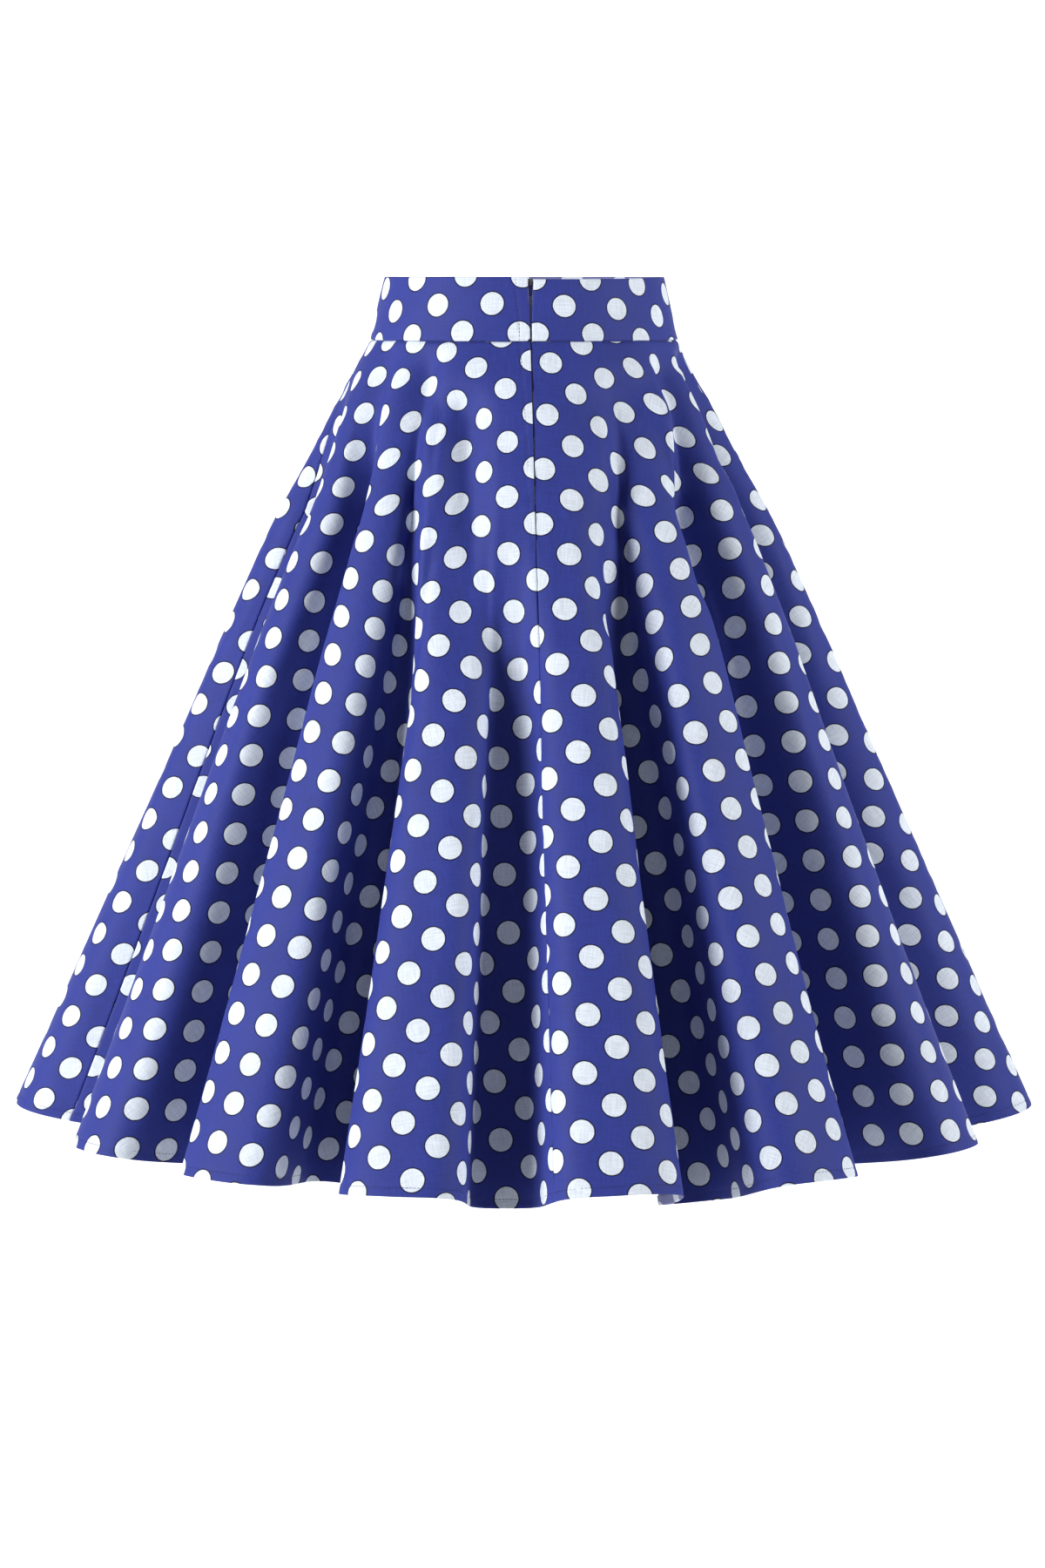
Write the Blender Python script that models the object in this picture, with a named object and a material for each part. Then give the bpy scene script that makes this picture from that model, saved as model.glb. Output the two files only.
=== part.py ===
"""Circle skirt in its worn form: a wide shaped waistband, three flared panels that fall in fourteen
folds, and a lapped zip at the centre back.

Metres, +Z up. The origin is the middle of the waist, level with the waistband's top edge. The zip
side faces -Y, and a turn is an angle about +Z that is 0 at the centre back and grows towards +X.
"""

from collections import namedtuple
from math import atan2, pi

import bmesh
import bpy
import numpy as np
from mathutils import Matrix

# Cut and cloth
CUT_ANGLE = 1.5 * pi  # the whole skirt is three quarters of a ring of cloth
CLOTH_DROP = 0.680  # from waist seam to hem, along the cloth
CLOTH_WALL = 0.0016
SEAM_GAP = 0.0003

# Waistband, two layers with interfacing
BAND_HEIGHT = 0.050
BAND_WALL = 0.0024
BAND_TOP_HALF_WIDTH = 0.1105
BAND_TOP_HALF_DEPTH = 0.0920

# The outline that the fold crests reach, by distance down the cloth
Outline = namedtuple("Outline", "drop half_width half_depth")
OUTLINE = (
    Outline(0.000, 0.1220, 0.1010),
    Outline(0.060, 0.1515, 0.1290),
    Outline(0.108, 0.1725, 0.1480),
    Outline(0.174, 0.2035, 0.1730),
    Outline(0.268, 0.2420, 0.2080),
    Outline(0.382, 0.2880, 0.2480),
    Outline(0.484, 0.3290, 0.2860),
    Outline(0.593, 0.3730, 0.3300),
    Outline(0.680, 0.4090, 0.3700),
)

# Each fold's crest, and the valley after it, where they reach the hem: their turn in degrees, their
# distance from the axis and how broadly they round over. The fold begins at `start` down the cloth.
# `dip` is how much of its natural hang the valley keeps after the hem has been levelled.
Fold = namedtuple(
    "Fold", "crest_turn crest_reach crest_round valley_turn valley_reach valley_round start dip"
)
FOLDS = (
    Fold(8.8, 0.386, 0.29, 23.0, 0.276, 0.20, 0.20, 0.90),
    Fold(32.2, 0.389, 0.29, 46.5, 0.282, 0.16, 0.05, 0.50),
    Fold(57.5, 0.396, 0.22, 69.0, 0.308, 0.15, 0.02, 0.50),
    Fold(83.0, 0.411, 0.22, 98.0, 0.305, 0.18, 0.02, 0.50),
    Fold(112.0, 0.394, 0.23, 125.0, 0.300, 0.18, 0.05, 0.60),
    Fold(139.0, 0.385, 0.23, 153.0, 0.298, 0.18, 0.08, 0.80),
    Fold(167.0, 0.378, 0.23, 180.0, 0.302, 0.18, 0.10, 0.60),
    Fold(194.0, 0.380, 0.23, 207.0, 0.300, 0.18, 0.10, 0.80),
    Fold(219.0, 0.385, 0.23, 231.0, 0.304, 0.18, 0.07, 0.60),
    Fold(244.0, 0.394, 0.23, 256.0, 0.314, 0.18, 0.05, 0.50),
    Fold(269.0, 0.413, 0.22, 284.0, 0.318, 0.15, 0.02, 0.40),
    Fold(299.5, 0.401, 0.23, 310.5, 0.300, 0.14, 0.02, 0.40),
    Fold(320.5, 0.392, 0.28, 327.5, 0.288, 0.15, 0.05, 0.40),
    Fold(342.8, 0.388, 0.27, 354.3, 0.313, 0.17, 0.20, 0.90),
)
CENTRE_BACK_TURN = 0.3  # where the centre-back seam meets the hem, in degrees
FOLD_RAMP = 0.20  # a fold reaches its full share this far below its start
SHALLOW_ABOVE = 0.22  # above this drop the folds stay shallow, because the cloth is eased there
SHALLOW_TOP = 0.30  # fold strength at the seam
SHALLOW_FOOT = 0.60  # fold strength allowed where the shallow stretch ends
STEEPEST = 0.93  # the cloth never runs more level than this, as outward travel over its length

# How finely the cloth is worked out, and which of its rows the solids take
CURVE_STEPS = 40  # points on each half fold of the hem's plan
ELLIPSE_STEPS = 4000  # points round the waist seam, to share the cut out along it
STRONGEST_FOLD = 2.5  # as a share of the hem's folds
HALVINGS = 30  # how often the search for a row's fold strength halves its range
SOLVE_COLUMNS = 480
DROP_STEPS = 36
SOLID_ROWS = (0, 2, 4, 6, 9, 11, 14, 18, 22, 26, 31, 36)
COLUMNS_ALL_ROUND = 216

# Zip, lengths along the cloth and sizes across it
ZIP_ROWS = 6  # how many of the solid rows the zip runs past
ZIP_SPREAD = 6  # columns of cloth to each side that the zip is laid on
ZIP_TOP = 0.0033  # the coils start this far below the band's top edge
TAPE_TOP = 0.0015
TAPE_NEAR = 0.0022
TAPE_FAR = 0.0120
TAPE_WALL = 0.0008
COIL_HALF_WIDTH = 0.0019
COIL_WALL = 0.0014
# Half the slot between the lap's fold and the right edge, by depth below the waist's top edge
Slot = namedtuple("Slot", "depth half_width")
SLOT = (
    Slot(0.000, 0.0026),
    Slot(0.008, 0.0021),
    Slot(0.020, 0.0018),
    Slot(0.050, 0.0017),
    Slot(0.150, 0.0012),
    Slot(0.198, SEAM_GAP / 2),
)

# Slider and pull tab, in the slider's own frame: across, outward from the cloth, and up along it
SLIDER_DEPTH = 0.0045  # the hinge's distance below the band's top edge
SLIDER_HALF_WIDTH = 0.0018
SLIDER_TOP = 0.0032
SLIDER_FOOT = -0.0036
SLIDER_POST_FOOT = 0.0016
PLATE_FRONT = (-0.00115, -0.00055)
PLATE_BACK = (-0.00385, -0.00325)
ARCH_HALF_WIDTH = 0.00055
ARCH_HALF_LENGTH = 0.0016
ARCH_HALF_HOLE = 0.00075
ARCH_CROWN = (0.00075, 0.0012)
ARCH_SINK = 0.0001
HINGE_OUT = 0.0002
TAB_HALF_THICK = 0.0003
TAB_HALF_WIDTH = 0.0014
TAB_WINDOW_HALF_WIDTH = 0.0009
TAB_BAR_HALF = 0.00028
TAB_WINDOW_FOOT = -0.0023
TAB_SHOULDER = -0.0098
TAB_FOOT = -0.0110
TAB_FOOT_HALF_WIDTH = 0.0008

Finish = namedtuple("Finish", "colour roughness metallic")
BLUE_COTTON = Finish((0.045, 0.050, 0.290, 1.0), 0.62, 0.0)
NAVY_TAPE = Finish((0.020, 0.022, 0.110, 1.0), 0.80, 0.0)
NAVY_NYLON = Finish((0.018, 0.020, 0.090, 1.0), 0.42, 0.0)
GREY_METAL = Finish((0.620, 0.600, 0.570, 1.0), 0.34, 1.0)


def clear_scene():
    for obj in list(bpy.data.objects):
        bpy.data.objects.remove(obj, do_unlink=True)


def smooth(x):
    """0 to 1 with level ends."""
    x = np.clip(x, 0.0, 1.0)
    return x * x * (3 - 2 * x)


def lookup(table, key, value, at):
    """A column of a table, read between its rows."""
    return np.interp(at, [getattr(row, key) for row in table], [getattr(row, value) for row in table])


# The cloth -----------------------------------------------------------------------------------------


def plan_place(turn, reach):
    return np.stack([reach * np.sin(turn), -reach * np.cos(turn)], axis=-1)


def plan_ahead(turn):
    """The level direction in which the turn grows."""
    return np.array([np.cos(turn), np.sin(turn)])


def hem_curve():
    """The hem seen from above, once round from the first crest, and each point's place in FOLDS."""
    ends = []
    for fold in FOLDS:
        for turn, reach, broad in (
            (fold.crest_turn, fold.crest_reach, fold.crest_round),
            (fold.valley_turn, fold.valley_reach, fold.valley_round),
        ):
            angle = np.radians(turn)
            ends.append((plan_place(angle, reach), plan_ahead(angle) * broad))
    t = np.arange(CURVE_STEPS)[:, None] / CURVE_STEPS
    points = []
    for (start, leave), (end, arrive) in zip(ends, ends[1:] + ends[:1]):
        points.append(
            (2 * t**3 - 3 * t**2 + 1) * start
            + (t**3 - 2 * t**2 + t) * leave
            + (3 * t**2 - 2 * t**3) * end
            + (t**3 - t**2) * arrive
        )
    return np.concatenate(points), np.arange(len(ends) * CURVE_STEPS) / (2 * CURVE_STEPS)


def along(points):
    """Distance along a closed line of points, with its whole length last."""
    steps = np.linalg.norm(np.roll(points, -1, axis=0) - points, axis=1)
    return np.concatenate([[0.0], np.cumsum(steps)])


def hem_at(shares):
    """Plan place and place in FOLDS, for shares of the cut counted from the centre back."""
    points, folds = hem_curve()
    distance = along(points)
    turns = np.degrees(np.arctan2(points[:, 0], -points[:, 1]))
    last_flank = len(points) - CURVE_STEPS
    centre_back = last_flank + np.argmin(np.abs(turns[last_flank:] - CENTRE_BACK_TURN))
    at = np.mod(distance[centre_back] + shares * distance[-1], distance[-1])
    closed = np.concatenate([points, points[:1]])
    places = np.stack([np.interp(at, distance, closed[:, axis]) for axis in (0, 1)], axis=-1)
    return places, np.interp(at, distance, np.append(folds, len(FOLDS)))


def ellipse(turns, half_width, half_depth):
    return np.stack([half_width * np.sin(turns), -half_depth * np.cos(turns)], axis=-1)


def seam_turns(shares):
    """The waist seam's own parameter, where the cut is shared out evenly along it, and its girth."""
    fine = np.linspace(0, 2 * pi, ELLIPSE_STEPS + 1)
    line = ellipse(fine, OUTLINE[0].half_width, OUTLINE[0].half_depth)
    distance = np.concatenate([[0.0], np.cumsum(np.linalg.norm(np.diff(line, axis=0), axis=1))])
    whole, part = np.divmod(shares, 1.0)
    return np.interp(part * distance[-1], distance, fine) + whole * 2 * pi, distance[-1]


def between_folds(values, folds):
    """A value for each fold, eased from one fold to the next."""
    low = np.floor(folds).astype(int)
    ease = smooth(folds - low)
    values = np.array(values)
    return values[low % len(values)] * (1 - ease) + values[(low + 1) % len(values)] * ease


def drape(shares, strengths=None):
    """The cloth's middle surface (rows, columns, 3) under the waist seam, and each row's fold strength.

    A column runs down the cloth from the seam to the hem, and its height follows from its length.
    Without strengths, shares go evenly all round, and each row's folds deepen until the row is as
    long as the flat cut is at that distance from the seam.
    """
    turns, girth = seam_turns(shares)
    inner_radius = girth / CUT_ANGLE
    hem, folds = hem_at(shares)
    fold_offset = hem - ellipse(turns, OUTLINE[-1].half_width, OUTLINE[-1].half_depth)
    start = between_folds([fold.start for fold in FOLDS], folds)
    dip = between_folds([fold.dip for fold in FOLDS], folds - 0.5)
    drops = np.linspace(0, CLOTH_DROP, DROP_STEPS + 1)
    step = drops[1]

    outline = ellipse(turns, OUTLINE[0].half_width, OUTLINE[0].half_depth)
    rows = [np.column_stack([outline, np.full(len(shares), -BAND_HEIGHT)])]
    hang, level = rows[0][:, 2], rows[0][:, 2]
    used = [0.0]
    for row, drop in enumerate(drops[1:], start=1):
        last_outline = outline
        outline = ellipse(
            turns,
            lookup(OUTLINE, "drop", "half_width", drop),
            lookup(OUTLINE, "drop", "half_depth", drop),
        )
        weight = smooth((drop - 0.6 * start) / FOLD_RAMP)[:, None]
        level = fall(level, outline - last_outline, step)

        def folded(strength):
            plan = outline + strength * weight * fold_offset
            low = fall(hang, plan - rows[-1][:, :2], step)
            return np.column_stack([plan, level + dip * (low - level)]), low

        if strengths is None:
            strength = deepest(folded, CUT_ANGLE * (inner_radius + drop))
            if drop < SHALLOW_ABOVE:
                shallow = SHALLOW_TOP + (SHALLOW_FOOT - SHALLOW_TOP) * drop / SHALLOW_ABOVE
                strength = min(strength, shallow)
        else:
            strength = strengths[row]
        points, hang = folded(strength)
        rows.append(points)
        used.append(strength)
    return np.array(rows), used


def fall(height, travel, step):
    """The height after one step along the cloth that also travels outward."""
    level_part = np.minimum(np.linalg.norm(travel, axis=1), STEEPEST * step)
    return height - np.sqrt(step**2 - level_part**2)


def deepest(folded, length):
    """The fold strength at which a row all round is that long."""
    low, high = 0.0, STRONGEST_FOLD
    for _ in range(HALVINGS):
        middle = (low + high) / 2
        if along(folded(middle)[0])[-1] < length:
            low = middle
        else:
            high = middle
    return middle


def band(shares, depths):
    """The waistband's middle surface (rows, columns, 3) at depths below its top edge."""
    turns, _ = seam_turns(shares)
    rows = []
    for depth in depths:
        part = depth / BAND_HEIGHT
        half_width = BAND_TOP_HALF_WIDTH + part * (OUTLINE[0].half_width - BAND_TOP_HALF_WIDTH)
        half_depth = BAND_TOP_HALF_DEPTH + part * (OUTLINE[0].half_depth - BAND_TOP_HALF_DEPTH)
        rows.append(np.column_stack([ellipse(turns, half_width, half_depth), np.full(len(turns), -depth)]))
    return np.array(rows)


def outward(points):
    """Unit normals of a grid of points, pointing away from the axis."""
    down = np.gradient(points, axis=0)
    ahead = np.gradient(points, axis=1)
    normals = np.cross(down, ahead)
    return normals / np.linalg.norm(normals, axis=2, keepdims=True)


def levelled(normals):
    """Normals with no rise, as the two walls that meet at the waist seam share."""
    flat = normals * (1, 1, 0)
    return flat / np.linalg.norm(flat, axis=-1, keepdims=True)


def trimmed(points, first, last):
    """The grid with its first and last columns moved in by those lengths, one for each row."""
    points = points.copy()
    for edge, inner, amounts in ((0, 1, first), (-1, -2, last)):
        inward = points[:, inner] - points[:, edge]
        inward /= np.linalg.norm(inward, axis=1, keepdims=True)
        points[:, edge] += inward * np.reshape(amounts, (-1, 1))
    return points


# Meshes --------------------------------------------------------------------------------------------


def material(name, finish):
    made = bpy.data.materials.new(name)
    made.use_nodes = True
    shader = made.node_tree.nodes["Principled BSDF"]
    shader.inputs["Base Color"].default_value = finish.colour
    shader.inputs["Roughness"].default_value = finish.roughness
    shader.inputs["Metallic"].default_value = finish.metallic
    made.diffuse_color = finish.colour
    return made


def add_object(name, mesh, finish, sharp=pi / 5):
    mesh.materials.append(material(name + "_finish", finish))
    mesh.shade_smooth()
    mesh.set_sharp_from_angle(angle=sharp)
    obj = bpy.data.objects.new(name, mesh)
    bpy.context.scene.collection.objects.link(obj)
    return obj


def add_wall(name, points, normals, thickness, finish):
    """A closed wall round a grid of middle points, as thick as stated."""
    rows, columns = points.shape[:2]
    outer = points + normals * thickness / 2
    inner = points - normals * thickness / 2
    places = np.concatenate([outer.reshape(-1, 3), inner.reshape(-1, 3)])
    index = np.arange(rows * columns).reshape(rows, columns)
    back = index + rows * columns
    faces = []
    for row in range(rows - 1):
        for column in range(columns - 1):
            block = index[row : row + 2, column : column + 2]
            faces.append([block[0, 0], block[1, 0], block[1, 1], block[0, 1]])
            block = back[row : row + 2, column : column + 2]
            faces.append([block[0, 0], block[0, 1], block[1, 1], block[1, 0]])
    rim = [*index[0, :-1], *index[:-1, -1], *index[-1, :0:-1], *index[:0:-1, 0]]
    shift = rows * columns
    for near, far in zip(rim, rim[1:] + rim[:1]):
        faces.append([near, far, far + shift, near + shift])
    mesh = bpy.data.meshes.new(name)
    mesh.from_pydata(places.tolist(), [], [[int(corner) for corner in face] for face in faces])
    mesh.validate()
    return add_object(name, mesh, finish)


def extrude_outline(name, outline, half_width, finish):
    """A solid of constant width across, from an outline of (outward, up) points."""
    mesh = bpy.data.meshes.new(name)
    form = bmesh.new()
    side = form.faces.new([form.verts.new((-half_width, out, up)) for out, up in outline])
    swept = bmesh.ops.extrude_face_region(form, geom=[side])
    moved = [part for part in swept["geom"] if isinstance(part, bmesh.types.BMVert)]
    bmesh.ops.translate(form, verts=moved, vec=(2 * half_width, 0, 0))
    bmesh.ops.recalc_face_normals(form, faces=form.faces)
    form.to_mesh(mesh)
    form.free()
    return add_object(name, mesh, finish)


# Pieces --------------------------------------------------------------------------------------------

Panel = namedtuple("Panel", "name start end slot_at_start slot_at_end")
PANELS = (
    Panel("back_right", 0.00, 0.25, True, False),
    Panel("front", 0.25, 0.75, False, False),
    Panel("back_left", 0.75, 1.00, False, True),
)


def panel_shares(panel):
    """Even shares across a panel, with one more beyond each edge for its normals."""
    count = round((panel.end - panel.start) * COLUMNS_ALL_ROUND)
    step = (panel.end - panel.start) / count
    return panel.start + step * np.arange(-1, count + 2)


def edge_insets(panel, depths):
    """How far each edge of a panel stands back from its seam line, at each row's depth."""
    seam = np.full(len(depths), SEAM_GAP / 2)
    slot = lookup(SLOT, "depth", "half_width", depths)
    return (slot if panel.slot_at_start else seam), (slot if panel.slot_at_end else seam)


def centre_back_depths(strengths):
    """The centre-back line's depth below the waist at each row of the cloth."""
    line, _ = drape(np.array([0.0]), strengths)
    return -line[:, 0, 2]


def add_skirt_panel(panel, strengths):
    grid, _ = drape(panel_shares(panel), strengths)
    grid = grid[list(SOLID_ROWS)]
    normals = outward(grid)[:, 1:-1]
    normals[0] = levelled(normals[0])
    points = grid[:, 1:-1]
    points[0, :, 2] -= SEAM_GAP / 2
    depths = centre_back_depths(strengths)[list(SOLID_ROWS)]
    points = trimmed(points, *edge_insets(panel, depths))
    add_wall("skirt_" + panel.name, points, normals, CLOTH_WALL, BLUE_COTTON)


def add_band_piece(panel):
    depths = np.array([0.0, BAND_HEIGHT - SEAM_GAP / 2])
    grid = band(panel_shares(panel), depths)
    normals = levelled(outward(grid)[:, 1:-1])
    points = trimmed(grid[:, 1:-1], *edge_insets(panel, depths))
    add_wall("waistband_" + panel.name, points, normals, BAND_WALL, BLUE_COTTON)


def zip_patch(strengths, top):
    """Cloth around the centre back from a depth in the band to the zip's tail, for the zip to lie on."""
    shares = np.arange(-ZIP_SPREAD, ZIP_SPREAD + 1) / COLUMNS_ALL_ROUND
    grid, _ = drape(shares, strengths)
    return np.concatenate([band(shares, np.array([top])), grid[list(SOLID_ROWS[:ZIP_ROWS])]])


def across(grid, distances):
    """The grid's rows, and their normals, read at distances to the right of the centre-back line."""
    normals = outward(grid)
    middle = grid.shape[1] // 2
    points, facing = [], []
    for row, row_normals in zip(grid, normals):
        steps = np.linalg.norm(np.diff(row, axis=0), axis=1)
        place = np.concatenate([[0.0], np.cumsum(steps)])
        place -= place[middle]
        points.append(np.stack([np.interp(distances, place, row[:, k]) for k in range(3)], axis=-1))
        facing.append(np.stack([np.interp(distances, place, row_normals[:, k]) for k in range(3)], axis=-1))
    return np.array(points), np.array(facing)


def add_zip_strip(name, strengths, top, distances, wall, finish):
    points, normals = across(zip_patch(strengths, top), distances)
    sunk = BAND_WALL / 2 + SEAM_GAP + wall / 2
    add_wall(name, points - normals * sunk, normals, wall, finish)


def add_zip_tapes(strengths):
    right = np.linspace(TAPE_NEAR, TAPE_FAR, 4)
    add_zip_strip("zip_tape_right", strengths, TAPE_TOP, right, TAPE_WALL, NAVY_TAPE)
    add_zip_strip("zip_tape_left", strengths, TAPE_TOP, -right[::-1], TAPE_WALL, NAVY_TAPE)


def add_zip_coil(strengths):
    width = np.linspace(-COIL_HALF_WIDTH, COIL_HALF_WIDTH, 3)
    add_zip_strip("zip_coil", strengths, ZIP_TOP, width, COIL_WALL, NAVY_NYLON)


def slider_frame():
    """The slider's place on the band: x across, y inward and z up along the cloth."""
    lean = atan2(OUTLINE[0].half_depth - BAND_TOP_HALF_DEPTH, BAND_HEIGHT)
    half_depth = BAND_TOP_HALF_DEPTH + np.tan(lean) * SLIDER_DEPTH
    return Matrix.Translation((0, -half_depth, -SLIDER_DEPTH)) @ Matrix.Rotation(-lean, 4, "X")


def add_zip_slider():
    """Two plates joined by a post, with an arch in front that the pull tab hangs on."""
    front_in, front_out = PLATE_FRONT
    back_in, back_out = PLATE_BACK
    plates = (
        (-front_out, SLIDER_TOP),
        (-front_out, SLIDER_FOOT),
        (-front_in, SLIDER_FOOT),
        (-front_in, SLIDER_POST_FOOT),
        (-back_out, SLIDER_POST_FOOT),
        (-back_out, SLIDER_FOOT),
        (-back_in, SLIDER_FOOT),
        (-back_in, SLIDER_TOP),
    )
    crown_in, crown_out = ARCH_CROWN
    foot = front_out - ARCH_SINK
    staple = (
        (-foot, ARCH_HALF_LENGTH),
        (-crown_out, ARCH_HALF_LENGTH),
        (-crown_out, -ARCH_HALF_LENGTH),
        (-foot, -ARCH_HALF_LENGTH),
        (-foot, -ARCH_HALF_HOLE),
        (-crown_in, -ARCH_HALF_HOLE),
        (-crown_in, ARCH_HALF_HOLE),
        (-foot, ARCH_HALF_HOLE),
    )
    slider = extrude_outline("zip_slider", plates, SLIDER_HALF_WIDTH, GREY_METAL)
    arch = extrude_outline("slider_arch_guide", staple, ARCH_HALF_WIDTH, GREY_METAL)
    arch.hide_render = True
    arch.display_type = "WIRE"
    join = slider.modifiers.new("arch", "BOOLEAN")
    join.operation = "UNION"
    join.solver = "EXACT"
    join.object = arch
    slider.matrix_world = slider_frame()
    arch.matrix_world = slider_frame()


def add_zip_pull():
    """A flat tab with a window, whose top bar runs through the slider's arch. Its origin is on the bar."""
    inner, outer = TAB_WINDOW_HALF_WIDTH, TAB_HALF_WIDTH
    across_tab = (-outer, -inner, inner, outer)
    lines = [(up, across_tab) for up in (TAB_BAR_HALF, -TAB_BAR_HALF, TAB_WINDOW_FOOT, TAB_SHOULDER)]
    narrow = TAB_FOOT_HALF_WIDTH
    lines.append((TAB_FOOT, (-narrow, -narrow * inner / outer, narrow * inner / outer, narrow)))
    mesh = bpy.data.meshes.new("zip_pull")
    form = bmesh.new()
    grid = [[form.verts.new((x, TAB_HALF_THICK, up)) for x in places] for up, places in lines]
    for row, (upper, lower) in enumerate(zip(grid, grid[1:])):
        for column in range(3):
            is_window = row == 1 and column == 1
            if not is_window:
                corners = (upper[column], lower[column], lower[column + 1], upper[column + 1])
                form.faces.new(corners)
    swept = bmesh.ops.extrude_face_region(form, geom=form.faces[:])
    moved = [part for part in swept["geom"] if isinstance(part, bmesh.types.BMVert)]
    bmesh.ops.translate(form, verts=moved, vec=(0, -2 * TAB_HALF_THICK, 0))
    bmesh.ops.recalc_face_normals(form, faces=form.faces)
    form.to_mesh(mesh)
    form.free()
    pull = add_object("zip_pull", mesh, GREY_METAL)
    pull.matrix_world = slider_frame() @ Matrix.Translation((0, -HINGE_OUT, 0))


def main():
    clear_scene()
    _, strengths = drape(np.arange(SOLVE_COLUMNS) / SOLVE_COLUMNS)
    for panel in PANELS:
        add_skirt_panel(panel, strengths)
        add_band_piece(panel)
    add_zip_tapes(strengths)
    add_zip_coil(strengths)
    add_zip_slider()
    add_zip_pull()


main()
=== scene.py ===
"""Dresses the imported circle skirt: printed cotton panels with their folds, hem and seams, the
waistband, the lapped zip, its stitching and a plain studio.

Metres, +Z up, on the part's own frame: the origin is the middle of the waist, level with the
waistband's top edge, and the zip side faces -Y. A turn is an angle about +Z that is 0 at the
centre back and grows towards +X. A share is a place round the cut, as a part of the whole of it,
counted the same way.
"""

from collections import namedtuple
from math import cos, pi, radians, sin

import bmesh
import bpy
import numpy as np
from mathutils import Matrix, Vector


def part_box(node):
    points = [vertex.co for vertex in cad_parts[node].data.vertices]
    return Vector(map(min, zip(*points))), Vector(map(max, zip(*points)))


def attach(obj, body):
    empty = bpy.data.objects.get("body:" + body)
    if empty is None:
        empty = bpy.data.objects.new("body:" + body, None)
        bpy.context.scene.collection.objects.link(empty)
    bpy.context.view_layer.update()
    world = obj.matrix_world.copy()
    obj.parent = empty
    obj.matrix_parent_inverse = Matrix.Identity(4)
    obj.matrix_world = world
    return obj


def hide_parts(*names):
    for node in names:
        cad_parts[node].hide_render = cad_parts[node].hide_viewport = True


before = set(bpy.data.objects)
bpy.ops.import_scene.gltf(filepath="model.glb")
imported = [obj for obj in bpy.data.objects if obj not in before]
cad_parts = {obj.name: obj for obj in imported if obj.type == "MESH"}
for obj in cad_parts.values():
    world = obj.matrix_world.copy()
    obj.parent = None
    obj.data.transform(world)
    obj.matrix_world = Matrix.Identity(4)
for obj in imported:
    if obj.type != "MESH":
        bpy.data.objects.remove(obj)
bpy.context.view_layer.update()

bl_info = {
    "name": "Circle skirt",
    "version": (1, 0, 0),
    "blender": (4, 5, 0),
    "location": "View3D > Sidebar > Skirt",
    "description": "Makes a circle skirt's printed cloth, waistband, stitching and zip",
    "category": "Object",
}

MM = 0.001

# Cut and cloth, as the solids have them
CUT_ANGLE = 1.5 * pi
CLOTH_DROP = 0.680
BAND_HEIGHT = 0.050
BAND_TOP_HALF_WIDTH = 0.1105
BAND_TOP_HALF_DEPTH = 0.0920

# The skirt's oval outline: the drop down the cloth from the waist seam, and the half sizes there
Outline = namedtuple("Outline", "drop half_width half_depth")
OUTLINE = (
    Outline(0.000, 0.1220, 0.1010),
    Outline(0.060, 0.1515, 0.1290),
    Outline(0.108, 0.1725, 0.1480),
    Outline(0.174, 0.2035, 0.1730),
    Outline(0.268, 0.2420, 0.2080),
    Outline(0.382, 0.2880, 0.2480),
    Outline(0.484, 0.3290, 0.2860),
    Outline(0.593, 0.3730, 0.3300),
    Outline(0.680, 0.4090, 0.3700),
)

# Each fold at the hem, from its crest to the valley after it: the turn in degrees, the reach from
# the axis and how broadly it rounds. Then the drop at which it starts, and how far its hem strays
# from level.
Fold = namedtuple(
    "Fold", "crest_turn crest_reach crest_round valley_turn valley_reach valley_round start dip"
)
FOLDS = (
    Fold(8.8, 0.386, 0.29, 23.0, 0.276, 0.20, 0.20, 0.90),
    Fold(32.2, 0.389, 0.29, 46.5, 0.282, 0.16, 0.05, 0.50),
    Fold(57.5, 0.396, 0.22, 69.0, 0.308, 0.15, 0.02, 0.50),
    Fold(83.0, 0.411, 0.22, 98.0, 0.305, 0.18, 0.02, 0.50),
    Fold(112.0, 0.394, 0.23, 125.0, 0.300, 0.18, 0.05, 0.60),
    Fold(139.0, 0.385, 0.23, 153.0, 0.298, 0.18, 0.08, 0.80),
    Fold(167.0, 0.378, 0.23, 180.0, 0.302, 0.18, 0.10, 0.60),
    Fold(194.0, 0.380, 0.23, 207.0, 0.300, 0.18, 0.10, 0.80),
    Fold(219.0, 0.385, 0.23, 231.0, 0.304, 0.18, 0.07, 0.60),
    Fold(244.0, 0.394, 0.23, 256.0, 0.314, 0.18, 0.05, 0.50),
    Fold(269.0, 0.413, 0.22, 284.0, 0.318, 0.15, 0.02, 0.40),
    Fold(299.5, 0.401, 0.23, 310.5, 0.300, 0.14, 0.02, 0.40),
    Fold(320.5, 0.392, 0.28, 327.5, 0.288, 0.15, 0.05, 0.40),
    Fold(342.8, 0.388, 0.27, 354.3, 0.313, 0.17, 0.20, 0.90),
)
CENTRE_BACK_TURN = 0.3  # degrees, where the zip's line meets the hem
FOLD_EARLY = 0.6  # folds begin at this share of their start's drop
FOLD_RAMP = 0.20  # and have grown that much further down
SHALLOW_ABOVE = 0.22  # above this drop folds are kept shallower than the cut alone makes them
SHALLOW_TOP = 0.30  # their greatest strength at the waist seam
SHALLOW_FOOT = 0.60  # and at that drop
STEEPEST = 0.93  # the most of a step down the cloth that can go sideways

# How finely the drape is worked out
CURVE_STEPS = 40
ELLIPSE_STEPS = 4000
STRONGEST_FOLD = 2.5
HALVINGS = 30
SOLVE_COLUMNS = 480
DROP_STEPS = 36

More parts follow.
